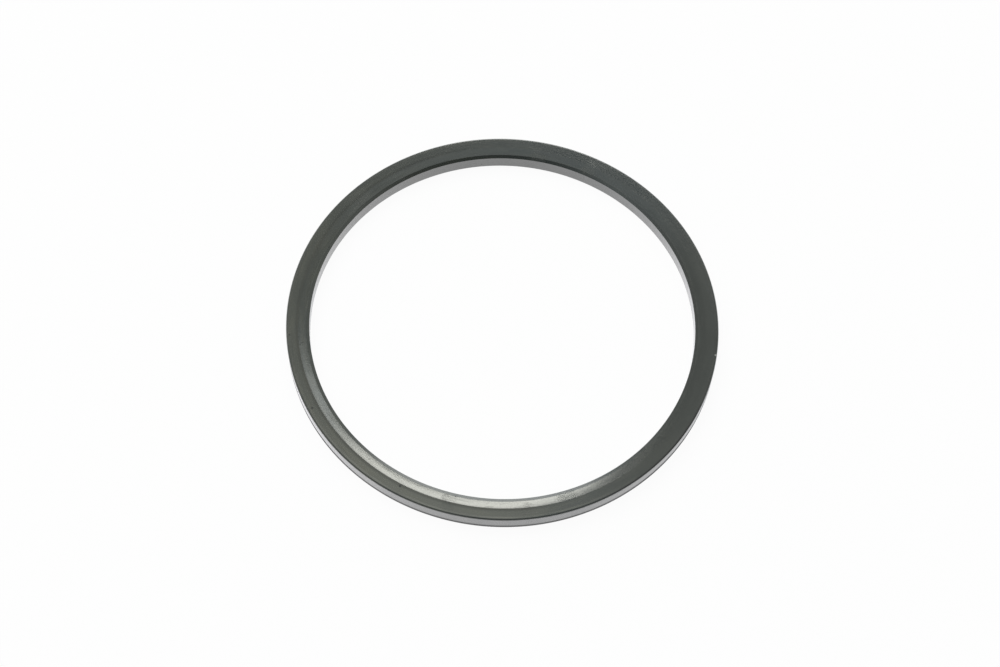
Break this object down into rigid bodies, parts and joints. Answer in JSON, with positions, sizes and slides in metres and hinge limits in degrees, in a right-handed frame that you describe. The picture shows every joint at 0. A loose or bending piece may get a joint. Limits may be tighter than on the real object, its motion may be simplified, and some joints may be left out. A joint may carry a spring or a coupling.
{
  "type": "rectangular-section o-ring",
  "caption": "Closed dark rubber seal ring of rectangular section, with a flat upper face and a shallow crowned lip that falls to a bevelled mouth at the bore.",
  "frame": {"origin": "centre of the ring, on the plane of its plain lower face", "axes": "+Z along the ring's axis, up from the lower face to the lipped upper face; X and Y are any two directions across the ring"},
  "size_m": [0.056, 0.056, 0.0024],
  "materials": {
    "black_rubber": "satin moulded skin, dark grey"
  },
  "bodies": {
    "root": {"seal_ring": "black_rubber"}
  },
  "joints": []
}
